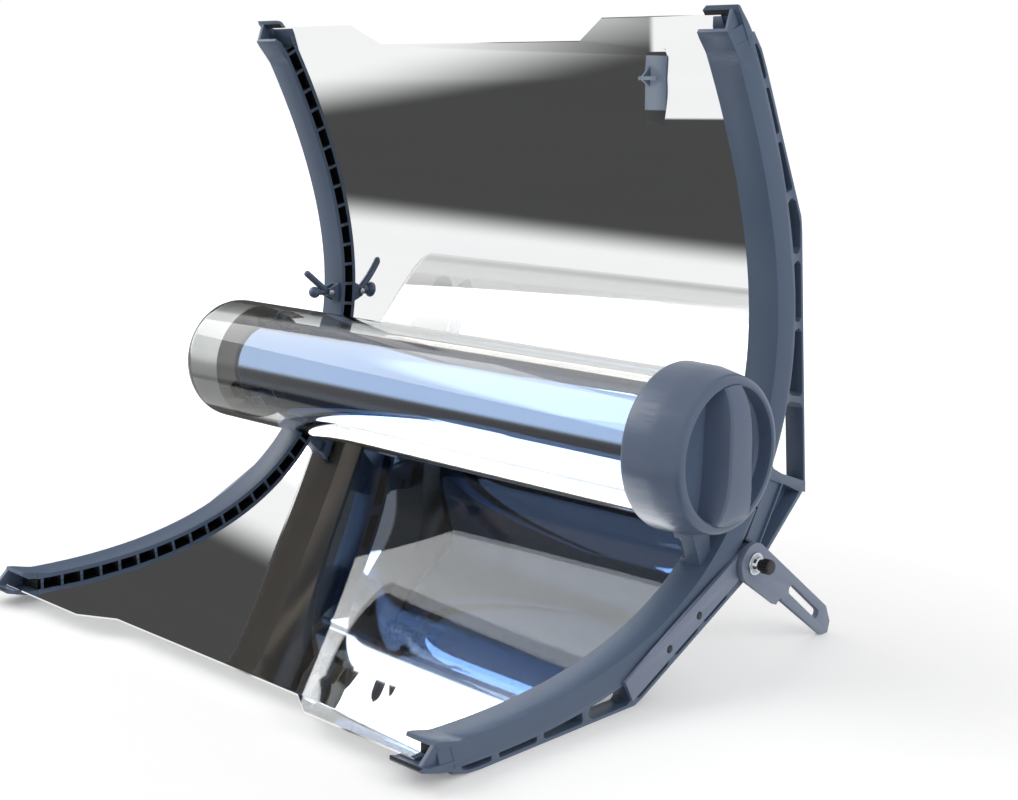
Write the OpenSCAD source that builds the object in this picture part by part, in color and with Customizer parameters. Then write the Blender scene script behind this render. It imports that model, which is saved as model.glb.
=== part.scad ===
// Folding solar oven. Two curved mirror sheets, held in moulded end ribs, throw sunlight on a
// glass vacuum tube. Food goes in and out on a tray that is carried by the round cap.
// X runs along the tube with the cap at +X, Y runs to the back and Z points up.
// The origin is on the floor, under the middle of the oven's outline.

/* [Stance] */
// Height of the tube's axis above the floor
axis_h = 178; // [174:0.5:182]
// Angle of the trough's middle plane above the floor, in degrees
mouth_tilt = 32.57; // [31:0.01:34]

/* [Mirrors] */
// Focal length of each mirror
focal = 96.8; // [95:0.1:99]
// Turn of each mirror about its vertex, in degrees
half_tilt = 7.79; // [7:0.01:8.5]
// Distance from the tube's axis back to the vertex of each mirror
vertex_back = 89.1; // [87:0.1:91]
// Distance from the middle plane out to the vertex of each mirror
vertex_out = 35.9; // [35:0.1:37]
// Outer edge of each mirror sheet, along its vertex tangent
sheet_end = 268; // [262:1:272]
// Inner edge of each mirror sheet, back from its vertex along the same tangent
sheet_root = 33.5; // [32.5:0.1:34]
// Thickness of the mirror sheet
sheet_t = 1.2; // [0.8:0.1:1.4]
// Depth of the cut-out in the outer edge of each sheet
notch_depth = 18.7; // [10:0.1:25]
// Half length of the cut-out at the edge of the sheet
notch_half = 145.4; // [120:0.1:170]
// How far each end of the cut-out slopes in
notch_slope = 30; // [10:1:40]

/* [Ribs] */
// Distance from the middle of the oven to the inner side of each rib
rib_in = 240.9; // [238:0.1:243]
// Width of the rib along the tube
rib_w = 31.9; // [30:0.1:34]
// Height of the front face above the mirror
front_d = 8.9; // [8:0.1:10]
// Height of the slot's roof above the mirror
roof_d = 5.2; // [4:0.1:6]
// Depth of the slot's floor below the mirror
floor_d = 1; // [0.9:0.05:1.2]
// Depth of the rail's back below the mirror
back_d = 6.6; // [6:0.1:8.2]
// Depth of the slot that takes the sheet
slot_w = 16.1; // [14:0.1:17]
// Width of the slope along the outer side of the front face
bevel_w = 4.8; // [3:0.1:6]
// Height that the slope falls below the mirror
bevel_fall = 3.4; // [2:0.1:4]
// Spacing of the teeth that press on the sheet, along the curve
tooth_pitch = 19.5; // [16:0.5:24]
// Width of one tooth
tooth_w = 2.8; // [2:0.1:5]
// Inner end of the rail, back from the vertex
rail_root = 27.5; // [26:0.1:28]
// Length of the open end of the rail
open_end = 12; // [10:0.5:14]
// Width of the truss behind the rail
truss_w = 16.8; // [15:0.1:18]
// Thickness of the struts in the truss
strut_t = 4.5; // [3.5:0.1:6]
// Thickness of the truss's outer flange
flange_t = 2.5; // [2:0.1:4]
// Place of the strut that meets the arm
arm_strut = -12.5; // [-14:0.5:-10]
// Distance from the tube's axis to the long straight edge of the upper truss
upper_reach = 178; // [174:0.5:182]
// Places of the upper struts, from the tip to the root
upper_struts = [254.3, 233, 205, 173, 136, 92.7, 42, arm_strut];
// Places of the lower struts, from the tip to the stand bolt
lower_struts = [254.3, 233, 205, 173, 136, 98, 66, 32];

/* [Arm] */
// Distance back from the tube's axis to the hinge pin
hinge_back = 98; // [97.5:0.1:98.5]
// Radius of the hinge pin
hinge_pin_r = 2.5; // [2:0.1:3]
// Solid part of the arm between the hinge pin's hole and the outer side
hinge_stop = 5; // [3:0.5:7]
// Radius of the hinge barrels
barrel_r = 6.3; // [5.5:0.1:6.4]
// Distance back from the tube's axis to the corner of the upper rib
corner_back = 148.8; // [144:0.1:152]
// Distance from the middle plane out to that corner
corner_out = 31.3; // [29:0.1:33]
// Distance back from the tube's axis to the kink of the upper rib
kink_back = 20.5; // [15:0.1:25]
// Distance from the middle plane down to the arm's end
arm_end = 33; // [25:0.1:33]
// Distance back from the tube's axis to the arm's outer edge at its end
arm_back = 130.6; // [126:0.1:134]
// Front edge of the arm behind the hinge pin's axis
arm_front = 1.1; // [1:0.1:2]
// Wall around the arm's channel
arm_wall = 3.5; // [2.5:0.1:4.5]
// Wall around the arm's bare panel
panel_wall = 1.5; // [1:0.1:2.5]
// Width of the arm's bare panel
panel_w = 17; // [12:0.5:18]
// Depth of the arm's bare panel
panel_depth = 2.5; // [1.5:0.1:4]
// Depth of the channel beside the panel
channel_depth = 12; // [6:0.5:14]

/* [Stand] */
// Distance from the tube's axis back to the stand bolt, along the middle plane
bolt_back = 109; // [107:0.1:111]
// Distance of the stand bolt below the middle plane
bolt_out = 47; // [46:0.1:49]
// Radius of the stand bolt
bolt_r = 3; // [2.5:0.1:3.5]
// Radius of the round end that the bar and the rib have at the bolt
boss_r = 13.5; // [12:0.1:14]
// Thickness of the front bar
bar_t = 3.2; // [2.5:0.1:4]
// Width of the front bar
bar_w = 18; // [15:0.5:20]
// Rivets, as distances from the bolt down the front bar
bar_rivets_at = [66, 104];
// Radius of the rivet's shank
rivet_r = 1.6; // [1.2:0.1:2]
// Radius of the rivet's head
rivet_head_r = 3; // [2.5:0.1:3.5]
// Height of the rivet's head
rivet_head_h = 1.4; // [1:0.1:2]
// Slope of the rear leg below the floor's plane, in degrees
leg_slope = 38.5; // [36:0.1:41]
// Thickness of the rear leg
leg_t = 4.8; // [3:0.1:5.5]
// Radius of the rear leg's round head
leg_head_r = 16; // [14:0.1:17]
// Length of the wide part of the leg, from the bolt
leg_wide = 47.5; // [42:0.5:52]
// Distance of the narrow part's lower edge below the bolt's line
leg_narrow = 5.6; // [4:0.1:7]
// Length of the leg's upper edge, from the bolt
leg_top = 112.6; // [108:0.1:116]
// Start of the peg slot, from the bolt
peg_start = 55; // [52:0.5:60]
// Length of the peg slot
peg_len = 52; // [46:0.5:53]
// Width of the peg slot
peg_w = 7.5; // [7:0.5:10]
// Radius of the domed washer under the clamp knob
washer_r = 8.8; // [7:0.1:9.5]
// Thickness of the domed washer
washer_t = 5.2; // [4:0.1:6]
// Radius of the clamp knob
clamp_r = 5.8; // [5.4:0.1:7]
// Length of the clamp knob
clamp_len = 9.6; // [9:0.1:14]
// Length of the clamp knob's plain neck
clamp_neck = 2.2; // [1.5:0.1:4]
// Grooves around the clamp knob
clamp_grooves = 14; // [10:1:18]

/* [Vacuum tube] */
// Outer radius of the outer glass
tube_r = 55; // [54:0.1:56]
// Wall of the outer glass
glass_t = 2.4; // [1.8:0.1:3]
// Distance from the middle of the oven to the closed end of the glass
tube_end = 285; // [280:0.5:290]
// Radius of the rounding at the closed end
end_round = 16; // [12:0.5:22]
// Length of the sealing nib on the closed end
nib_len = 3; // [2:0.5:5]
// Distance from the middle of the oven to the mouth of the glass
mouth_x = 262; // [260:0.5:264]
// Outer radius of the coated inner glass
inner_r = 41.5; // [40:0.1:42.5]
// Wall of the inner glass
inner_t = 2; // [1.6:0.1:2.4]
// Distance from the middle of the oven to the closed end of the inner glass
inner_end = 228; // [222:0.5:232]
// Length of the silvery film inside the closed end of the outer glass
film_len = 54; // [45:0.5:56]
// Thickness that stands for the film
film_t = 0.4; // [0.3:0.1:0.6]
// Length of the spring fingers that hold the inner glass
finger_len = 52; // [40:1:60]
// Width of the spring fingers
finger_w = 13; // [9:0.5:16]
// Thickness of the spring's steel
finger_t = 0.8; // [0.6:0.1:1]

/* [Cradles] */
// Thickness of the cradle along the tube
cradle_w = 9.5; // [8:0.1:10]
// Length of the cradle along the tube, with the part under the cap
cradle_len = 18.5; // [16:0.5:24]
// Place of the right cradle on the rib's curve, from the mirror's vertex
cradle_right_s = 27; // [24:0.5:30]
// Place of the left cradle on the rib's curve, from the mirror's vertex
cradle_left_s = -7; // [-9:0.5:0]
// Half width of the cradle at the rib
cradle_foot = 8; // [6:0.5:12]
// Half width of the cradle at the tube
cradle_top = 11; // [9:0.5:14]
// Thickness of the soft pad on the cradle
pad_t = 2; // [1.5:0.1:3]
// Height of the cradle's solid foot below its recess
cradle_sole = 4.5; // [3:0.1:6]
// Height of the top of the cradle's recess above the rib
cradle_recess = 21; // [15:0.5:24]
// Depth of the cradle's recess from the inner side
cradle_hollow = 5.5; // [4:0.1:7]

/* [Cap and tray] */
// Thickness of the cap's wall around the outer glass, with its clearance
cap_wall = 7; // [6:0.1:7.5]
// How much the cap narrows towards its front shoulder
cap_taper = 4; // [2:0.1:6]
// Distance from the middle of the oven to the cap's back edge
cap_back_x = 253.5; // [253:0.1:254.5]
// Distance from the middle of the oven to the cap's front edge
cap_front_x = 305; // [300:0.5:308]
// Width of the rim around the round recess in the cap's front
dish_rim = 8; // [7:0.1:11]
// Depth of that recess
dish_depth = 13; // [10:0.5:15]
// Height of the grip bar above the cap's front edge
grip_rise = 10; // [6:0.5:12]
// Half width of the grip bar's front at its middle
grip_half = 13; // [9:0.1:14]
// Half width of the grip bar's front at its lower end
grip_low = 20; // [14:0.1:22]
// Half width of the grip bar's front at its upper end
grip_high = 9.5; // [7:0.1:12]
// Length of the plug behind the cap
plug_len = 34; // [25:0.5:40]
// Radius of the tray
tray_r = 37; // [35:0.1:38]
// Sheet thickness of the tray
tray_t = 1; // [0.8:0.1:1.5]
// Distance from the middle of the oven to the tray's far end
tray_end = 190; // [170:1:205]

/* [Latch] */
// Distance along the rib's curve from the vertex to the latch's bracket
latch_s = 73; // [68:0.5:78]
// Height of the latch's pivot above the front face
latch_h = 11; // [9:0.5:14]
// Radius of the latch's rod
latch_r = 3.4; // [3:0.1:4]
// Length of the latch's rod, from its pivot
latch_len = 31; // [26:0.5:36]
// Lean of the rod towards the tip of the rib, in degrees
latch_lean = 35; // [20:1:45]

/* [Fits] */
// Clearance around pins and in bores
pin_gap = 0.08; // [0.05:0.01:0.1]
// Clearance between parts that lie against each other
seat_gap = 0.15; // [0.1:0.05:0.2]
// Clearance between parts that move past each other
run_gap = 0.35; // [0.3:0.05:0.5]

/* [Hidden] */
$fn = 96;

rib_out = rib_in + rib_w;
cap_r = tube_r + cap_wall;
cap_front_r = cap_r - cap_taper;
dish_r = cap_front_r - dish_rim;
truss_in = rib_out - truss_w;
inset = 0.3;
steps = 30;
corner_cut = 3;

// Points of the mirror's curve. s runs along the vertex tangent, d stands towards the tube.
// A point is [distance out from the middle plane, distance in front of the tube's axis].
function slope(s) = s / (2 * focal);
function curve_u(s) =
    vertex_out + s * cos(half_tilt) - s * s / (4 * focal) * sin(half_tilt);
function curve_a(s) =
    -vertex_back + s * sin(half_tilt) + s * s / (4 * focal) * cos(half_tilt);
function normal(s) =
    let (turn = half_tilt + atan(slope(s))) [-sin(turn), cos(turn)];
function at(s, d) = [curve_u(s), curve_a(s)] + d * normal(s);
function run(from, to, d, n = steps) = [for (i = [0 : n]) at(from + (to - from) * i / n, d)];
function turned(points) = [for (i = [len(points) - 1 : -1 : 0]) points[i]];
function band(from, to, low, high, n = steps) =
    concat(run(from, to, low, n), turned(run(from, to, high, n)));
function path(pairs) = [for (p = pairs) at(p[0], p[1])];

// Places in the oven's frame
function place_y(u, a) = -a * cos(mouth_tilt) + u * sin(mouth_tilt);
function place_z(u, a) = axis_h + a * sin(mouth_tilt) + u * cos(mouth_tilt);
bolt_y = place_y(-bolt_out, -bolt_back);
bolt_z = place_z(-bolt_out, -bolt_back);

// Depth of the truss's outer contour behind the mirror, by three straight lines: the foot
// line on the floor, the toe towards the tip and the back line towards the root.
foot_normal = [cos(mouth_tilt), -sin(mouth_tilt)];
function line_depth(s, through, across) =
    ((at(s, 0) - through) * across) / (normal(s) * across);
function foot_depth(s, reach) =
    (at(s, 0) * foot_normal - reach) / (normal(s) * foot_normal);
toe_end_d = 8.4;
toe_slope = 0.33;
function toe_depth(s) = toe_end_d + (sheet_end - open_end / 2 - s) * toe_slope;
function contour(s, reach, through, across) =
    min(foot_depth(s, reach), toe_depth(s), line_depth(s, through, across));
function on_foot_line(a, reach = axis_h) = [(reach + a * sin(mouth_tilt)) / cos(mouth_tilt), a];
function square_to(v) = [v[1], -v[0]] / norm(v);

upper_corner = [corner_out, -corner_back];
upper_kink = on_foot_line(-kink_back, upper_reach);
upper_across = square_to(upper_kink - upper_corner);
lower_kink_back = 46;
lower_kink = on_foot_line(-lower_kink_back);
bolt_at = [bolt_out, -bolt_back];
to_bolt = bolt_at - lower_kink;
back_angle = atan2(to_bolt[1], to_bolt[0]) + asin(boss_r / norm(to_bolt));
back_dir = [cos(back_angle), sin(back_angle)];
lower_across = [-back_dir[1], back_dir[0]];

// Outlines of the two lips at the tip of a rib, as [s, d] pairs from the sheet's edge
upper_lip = [[-15, -1.6], [-1, -1.4], [2, -0.3], [4, -0.8], [3, -3], [-1.5, -4.8], [-5, -6.4],
    [-9, -7.6], [-15, -8.4]];
lower_lip = [[-15, -1.6], [1, -1.4], [4, -0.3], [6, -0.9], [4.6, -3.2], [0, -5], [-4, -6.5],
    [-9, -7.8], [-15, -8.6]];
front_lip = [[-22, 5.6], [-22, 7.4], [-13, 10.2], [-7, 12.2], [-4, 12.6], [-3.4, 10], [-7, 6.5],
    [-12, 5.6]];
side_wall = [[-14.5, -6], [-14.5, 8.2], [-6, 11], [-3.4, 10.5], [2.5, -1], [0, -4]];
function from_edge(pairs) = path([for (p = pairs) [p[0] + sheet_end, p[1]]]);

// Outline of the rear leg, as distances [along, above] the line from the bolt to the foot
bolt_drop = bolt_z;
function foot_along(above) = (bolt_drop + above * cos(leg_slope)) / sin(leg_slope);
toe_low = -4;
toe_high = 1.4;
leg_points = [
    [0, leg_head_r],
    [leg_top, leg_head_r + 1.4],
    [leg_top + 13.5, 10.2],
    [foot_along(toe_high), toe_high],
    [foot_along(toe_low), toe_low],
    [leg_wide + 6.5, -leg_narrow - 1],
    [leg_wide + 2, -leg_narrow],
    [leg_wide, -leg_head_r + 3.5],
    [0, -leg_head_r]
];

// Layers along the stand bolt, outwards from the rib
bar_x = rib_out + seat_gap;
leg_x = bar_x + bar_t + run_gap;
washer_x = leg_x + leg_t + seat_gap;
clamp_x = washer_x + washer_t + run_gap;

// The outline's middle, which sets the origin
front_y = min([for (p = from_edge(lower_lip)) place_y(-p[0], p[1])]);
back_y = bolt_y + max([for (p = leg_points) p[0] * cos(leg_slope) + p[1] * sin(leg_slope)]);
mid_y = (front_y + back_y) / 2;
grip_x = cap_front_x + grip_rise;
mid_x = (grip_x - max(tube_end + nib_len, clamp_x + clamp_len)) / 2;

slate = [0.37, 0.42, 0.49];
dark_slate = [0.30, 0.35, 0.42];
steel = [0.72, 0.73, 0.74];
silver = [0.88, 0.89, 0.89];
black = [0.10, 0.10, 0.10];
brass = [0.75, 0.62, 0.35];
leg_grey = [0.50, 0.54, 0.61];
glass = [0.85, 0.92, 0.95, 0.35];
coat_blue = [0.30, 0.42, 0.68];

// Frames: the middle of the oven, the trough's own axes, and its four quarters
module oven() {
    translate([-mid_x, -mid_y, 0]) children();
}

module trough() {
    oven()
        translate([0, 0, axis_h])
            rotate([90 - mouth_tilt, 0, 0])
                rotate([90, 0, 90])
                    children();
}

module lower_half() {
    trough() mirror([1, 0, 0]) children();
}

module left() {
    mirror([0, 0, 1]) children();
}

module along_tube() {
    oven() translate([0, 0, axis_h]) rotate([0, 90, 0]) children();
}

module slab(x, w) {
    translate([0, 0, x]) linear_extrude(w) children();
}

// Carries a cross-section of [x, d] points along the mirror's curve
module sweep(profile, from, to, n) {
    m = len(profile);
    points = [
        for (i = [0 : n], p = profile)
            let (q = at(from + (to - from) * i / n, p[1]))
            [q[0], q[1], p[0]]
    ];
    walls = [
        for (i = [0 : n - 1], j = [0 : m - 1])
            let (a = i * m + j, b = i * m + (j + 1) % m)
            each [[a, a + m, b], [b, a + m, b + m]]
    ];
    first = [for (j = [0 : m - 1]) j];
    last = [for (j = [m - 1 : -1 : 0]) n * m + j];
    polyhedron(points, concat(walls, [first], [last]), convexity = 8);
}

// The rail has a slot for the sheet and a slope along its outer side
module rail() {
    sweep([
        [rib_in, front_d],
        [rib_out - bevel_w, front_d],
        [rib_out, -bevel_fall],
        [rib_out, -back_d],
        [rib_in, -back_d],
        [rib_in, -floor_d],
        [rib_in + slot_w, -floor_d],
        [rib_in + slot_w, roof_d],
        [rib_in, roof_d]
    ], -rail_root, sheet_end - open_end, steps);
}

function stretch(s) = norm([1, slope(s)]);
function tooth_places(s) =
    s < tooth_pitch - rail_root ? []
                                : concat([s], tooth_places(s - tooth_pitch / stretch(s)));

module teeth() {
    tooth_top = roof_d + 1;
    tooth_foot = sheet_t / 2 + seat_gap;
    for (s = tooth_places(sheet_end - open_end - tooth_w)) {
        half = tooth_w / 2 / stretch(s);
        slab(rib_in + inset, slot_w)
            polygon(band(s - half, s + half, tooth_foot, tooth_top, 1));
    }
}

// The tip's two lips hold the sheet's edge. The outer side ends in a sloped side wall.
module tip(lip) {
    wall_x = rib_in + slot_w + 8;
    start = sheet_end - open_end - 1.5;
    lip_end = max([for (p = lip) p[0]]);
    corner = 4;
    edge = at(sheet_end + lip_end, 0);
    turn = half_tilt + atan(slope(sheet_end + lip_end));
    difference() {
        slab(rib_in + inset, rib_w - 2 * inset) polygon(from_edge(lip));
        translate([edge[0], edge[1], rib_in + inset])
            rotate([0, 0, turn])
                rotate([90, 0, 0])
                    linear_extrude(40, center = true)
                        polygon([[-corner, -1], [9, -1], [9, corner + 9], [0, corner]]);
    }
    slab(rib_in + 2 * inset, rib_w - bevel_w) polygon(from_edge(front_lip));
    slab(wall_x, rib_out - bevel_w - wall_x + inset) polygon(from_edge(side_wall));
    sweep([
        [wall_x + inset, front_d - inset],
        [rib_out - bevel_w - inset, front_d - inset],
        [rib_out - 2 * inset, -bevel_fall],
        [rib_out - 2 * inset, inset - back_d],
        [wall_x + inset, inset - back_d]
    ], start, start + 8.5, 2);
}

module opening(from, to, reach, through, across) {
    ends = [for (s = [from, to]) contour(s, reach, through, across)];
    cut = min(corner_cut, (min(ends) - flange_t - back_d) * 0.3);
    n = 4;
    inner = run(from + cut, to - cut, 2 - back_d, n);
    outer = [
        for (i = [0 : n])
            let (s = from + cut + (to - from - 2 * cut) * i / n)
            at(s, flange_t - contour(s, reach, through, across))
    ];
    start_low = at(from, 2 - back_d - cut * 2);
    end_low = at(to, 2 - back_d - cut * 2);
    end_high = at(to, flange_t + cut - contour(to, reach, through, across));
    start_high = at(from, flange_t + cut - contour(from, reach, through, across));
    polygon(concat([start_low], inner, [end_low, end_high], turned(outer), [start_high]));
}

module truss(from, struts, reach, through, across) {
    to = sheet_end - open_end + 1;
    outer = [
        for (i = [0 : steps])
            let (s = from + (to - from) * i / steps)
            at(s, -contour(s, reach, through, across))
    ];
    difference() {
        slab(truss_in + inset, truss_w - 2 * inset)
            polygon(concat(run(from, to, 1 - back_d), turned(outer)));
        slab(truss_in - 1, truss_w + 2)
            for (i = [0 : len(struts) - 2])
                opening(struts[i + 1] + strut_t / 2, struts[i] - strut_t / 2,
                    reach, through, across);
    }
}

module arm() {
    top = corner_out - arm_wall;
    front = -hinge_back - arm_front;
    split = front - panel_wall - panel_w;
    deep = channel_depth + 1;
    along_back = (upper_kink - upper_corner) / norm(upper_kink - upper_corner);
    function outer_at(u) =
        -arm_back + (arm_back - corner_back) * (u + arm_end) / (corner_out + arm_end);
    difference() {
        union() {
            slab(truss_in + run_gap, truss_w - run_gap - inset / 2)
                polygon([
                    [-arm_end, front],
                    [vertex_out - rail_root, front],
                    [vertex_out - rail_root, 1 - hinge_back],
                    at(arm_strut, 1 - back_d),
                    upper_corner + strut_t * along_back,
                    upper_corner,
                    [-arm_end, -arm_back]
                ]);
            translate([0, -hinge_back, truss_in + run_gap])
                cylinder(h = truss_w - run_gap - inset / 2, r = barrel_r);
        }
        slab(rib_out - panel_depth, panel_depth + 1)
            polygon([
                [arm_wall - arm_end, front - panel_wall],
                [top - 10, front - panel_wall],
                [top - 7, split],
                [arm_wall - arm_end, split]
            ]);
        slab(rib_out - channel_depth, deep)
            polygon([
                [arm_wall - arm_end, split - panel_wall],
                [top - 6, split - panel_wall],
                [top - 3, outer_at(top - 3) + arm_wall],
                [arm_wall - arm_end, outer_at(arm_wall - arm_end) + arm_wall]
            ]);
        hinge_hole();
    }
}

// The hinge pin's hole comes in from the inner side and stops inside the arm
module hinge_hole() {
    translate([0, -hinge_back, rib_in - 1])
        cylinder(h = rib_w + 1 - hinge_stop, r = hinge_pin_r + pin_gap);
}

// The upper rib: rail, truss and the arm that carries the hinge
module upper_rib() {
    union() {
        rail();
        teeth();
        tip(upper_lip);
        truss(arm_strut, upper_struts, upper_reach, upper_corner, upper_across);
        arm();
    }
}

module ear() {
    ear_w = truss_in - rib_in;
    difference() {
        union() {
            slab(rib_in + inset, ear_w - inset)
                polygon([
                    at(1.5 - rail_root, -floor_d - 0.5),
                    at(-rail_root, -floor_d - 0.5),
                    [0, barrel_r - hinge_back],
                    [0, -barrel_r - hinge_back],
                    at(1.5 - rail_root, -back_d)
                ]);
            translate([0, -hinge_back, rib_in + inset])
                cylinder(h = ear_w - inset, r = barrel_r);
        }
        hinge_hole();
    }
}

module bolt_hole(x, w) {
    translate([bolt_out, -bolt_back, x])
        cylinder(h = w, r = bolt_r + pin_gap);
}

// The lower rib: rail, truss with the foot line on the floor, hinge ear and bolt boss
module lower_rib() {
    difference() {
        union() {
            rail();
            teeth();
            tip(lower_lip);
            truss(14, lower_struts, axis_h, lower_kink, lower_across);
            translate([bolt_out, -bolt_back, truss_in])
                cylinder(h = truss_w, r = boss_r);
            ear();
            for (along = bar_rivets_at)
                rivet_place(along)
                    translate([0, 0, inset / 2 - truss_w])
                        cylinder(h = truss_w - inset, r = rivet_r + flange_t);
        }
        bolt_hole(truss_in - 1, truss_w + 2);
        for (along = bar_rivets_at)
            rivet_place(along) rivet_hole();
    }
}

module mirror_sheet() {
    half_w = rib_in + slot_w - run_gap;
    notch_mid = sheet_end - notch_depth / 2 / stretch(sheet_end);
    turn = half_tilt + atan(slope(notch_mid));
    middle = at(notch_mid, 0);
    reach = notch_depth / 2;
    low_half = notch_half - notch_slope;
    difference() {
        slab(-half_w, 2 * half_w)
            polygon(band(-sheet_root, sheet_end, -sheet_t / 2, sheet_t / 2, 2 * steps));
        translate([middle[0], middle[1], 0])
            rotate([0, 0, turn])
                rotate([90, 0, 0])
                    linear_extrude(20, center = true)
                        polygon([
                            [-reach, -low_half],
                            [-reach, low_half],
                            [reach, notch_half],
                            [reach + 9, notch_half + 9],
                            [reach + 9, -notch_half - 9],
                            [reach, -notch_half]
                        ]);
    }
}

// The front bar runs from the stand bolt down to the floor, on the outside of the rib
bar_up = [-back_dir[1], back_dir[0]];
module rivet_place(along) {
    spot = bolt_at - along * back_dir + (bar_w / 2 - boss_r + 2) * bar_up;
    translate([spot[0], spot[1], rib_out]) children();
}

module front_bar() {
    out = -boss_r * bar_up;
    in = (bar_w - boss_r) * bar_up;
    reach = norm(to_bolt) + 4;
    difference() {
        union() {
            slab(bar_x, bar_t)
                polygon([
                    bolt_at + out,
                    bolt_at + in,
                    bolt_at + in - reach * back_dir,
                    bolt_at + out - reach * back_dir
                ]);
            translate([bolt_out, -bolt_back, bar_x])
                cylinder(h = bar_t, r = boss_r);
        }
        bolt_hole(bar_x - 1, bar_t + 2);
        for (along = bar_rivets_at)
            rivet_place(along) rivet_hole();
        slab(bar_x - 1, bar_t + 2)
            polygon([
                on_foot_line(-200),
                on_foot_line(100),
                on_foot_line(100) + 200 * foot_normal,
                on_foot_line(-200) + 200 * foot_normal
            ]);
    }
}

// Rivet holes are counterbored on both sides, and the rivets' heads lie in them
module rivet_hole() {
    sunk = rivet_head_h + 2 * seat_gap;
    translate([0, 0, -truss_w - 1])
        cylinder(h = truss_w + bar_t + 3, r = rivet_r + pin_gap);
    translate([0, 0, -truss_w - sunk])
        cylinder(h = sunk, r = rivet_head_r + seat_gap);
    translate([0, 0, seat_gap + bar_t - sunk])
        cylinder(h = sunk + 1, r = rivet_head_r + seat_gap);
}

module rivet() {
    gap = seat_gap;
    head_z = bar_t + gap - rivet_head_h;
    translate([0, 0, head_z])
        cylinder(h = rivet_head_h, r1 = rivet_head_r, r2 = rivet_head_r - 0.5);
    translate([0, 0, -truss_w - gap - 0.1])
        cylinder(h = head_z + 0.2 + truss_w + gap, r = rivet_r);
    translate([0, 0, -truss_w - gap - rivet_head_h])
        cylinder(h = rivet_head_h, r1 = rivet_head_r - 1, r2 = rivet_head_r);
}

// The rear leg's own frame: X down the leg, Y above it, Z outwards
module at_bolt() {
    oven()
        translate([0, bolt_y, bolt_z])
            rotate([-leg_slope, 0, 0])
                rotate([90, 0, 90])
                    children();
}

module rear_leg() {
    difference() {
        union() {
            slab(leg_x, leg_t) polygon(leg_points);
            translate([0, 0, leg_x]) cylinder(h = leg_t, r = leg_head_r);
        }
        translate([0, 0, leg_x - 1]) cylinder(h = leg_t + 2, r = bolt_r + pin_gap);
        slab(leg_x - 1, leg_t + 2) {
            slot_y = 6;
            translate([peg_start + peg_w / 2, slot_y]) circle(d = peg_w);
            translate([peg_start + peg_len - peg_w / 2, slot_y]) circle(d = peg_w);
            translate([peg_start + peg_w / 2, slot_y - peg_w / 2])
                square([peg_len - peg_w, peg_w]);
        }
    }
}

module stand_bolt() {
    head_h = 4;
    tail = clamp_x + clamp_len - 3;
    translate([0, 0, truss_in - seat_gap - head_h])
        cylinder(h = head_h, r = 2 * bolt_r);
    translate([0, 0, truss_in - seat_gap - 0.1])
        cylinder(h = tail - truss_in + seat_gap, r = bolt_r);
}

module bolt_washer() {
    flange = 1.3;
    translate([0, 0, washer_x])
        rotate_extrude()
            polygon([
                [bolt_r + pin_gap, 0],
                [washer_r, 0],
                [washer_r, flange],
                [washer_r - 0.5, flange + 0.5],
                [washer_r - 1.4, flange + 0.5],
                [washer_r - 2.2, flange - 0.4],
                [washer_r - 2.6, flange - 0.4],
                [bolt_r + 2.6, washer_t - 1],
                [bolt_r + 1.8, washer_t],
                [bolt_r + pin_gap, washer_t]
            ]);
}

insert_r = bolt_r + 1.1;
module clamp_knob() {
    body_x = clamp_x + clamp_neck;
    body_len = clamp_len - clamp_neck;
    groove_r = 0.7;
    front_t = 1.8;
    difference() {
        union() {
            translate([0, 0, clamp_x]) cylinder(h = clamp_neck + 0.1, r = bolt_r + 1.4);
            translate([0, 0, body_x]) cylinder(h = body_len - 1, r = clamp_r);
            translate([0, 0, body_x + body_len - 1])
                cylinder(h = 1, r1 = clamp_r, r2 = clamp_r - 1);
        }
        translate([0, 0, clamp_x - 1])
            cylinder(h = clamp_len - 1, r = bolt_r + pin_gap);
        translate([0, 0, body_x]) cylinder(h = body_len - front_t, r = insert_r);
        for (i = [0 : clamp_grooves - 1])
            rotate(i * 360 / clamp_grooves)
                translate([clamp_r + 0.1, 0, body_x - 1])
                    cylinder(h = body_len - 0.5, r = groove_r, $fn = 16);
    }
}

module clamp_insert() {
    translate([0, 0, clamp_x + clamp_neck + 0.3])
        difference() {
            cylinder(h = clamp_len - clamp_neck - 2.6, r = insert_r - 0.05);
            translate([0, 0, -1]) cylinder(h = clamp_len, r = bolt_r + pin_gap);
        }
}

// Glass, as shapes turned about the tube's axis; x is measured from the middle of the oven
function arc(cx, cr, r, from, to, n = 8) =
    [for (i = [0 : n]) let (t = from + (to - from) * i / n) [cr + r * cos(t), cx + r * sin(t)]];

module outer_glass_body() {
    in_r = tube_r - glass_t;
    round_in = end_round - glass_t;
    nib_r = 4;
    rotate_extrude()
        polygon(concat(
            [[0, -tube_end - nib_len], [nib_r * 0.6, -tube_end - nib_len + 0.5]],
            [[nib_r, -tube_end]],
            arc(end_round - tube_end, tube_r - end_round, end_round, -90, 0),
            [[tube_r, mouth_x - 1], [tube_r - 1, mouth_x]],
            [[inner_r + 1.1, mouth_x], [inner_r + seat_gap, mouth_x - 1]],
            [[inner_r + seat_gap, mouth_x - glass_t], [in_r, mouth_x - glass_t]],
            turned(arc(end_round - tube_end, in_r - round_in, round_in, -90, 0)),
            [[0, glass_t - tube_end]]
        ));
}

module inner_glass_body() {
    in_r = inner_r - inner_t;
    round_out = 14;
    rotate_extrude()
        polygon(concat(
            [[0, -inner_end]],
            arc(round_out - inner_end, inner_r - round_out, round_out, -90, 0),
            [[inner_r, mouth_x], [in_r, mouth_x]],
            turned(arc(round_out - inner_end, inner_r - round_out, round_out - inner_t, -90, 0)),
            [[0, inner_t - inner_end]]
        ));
}

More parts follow.
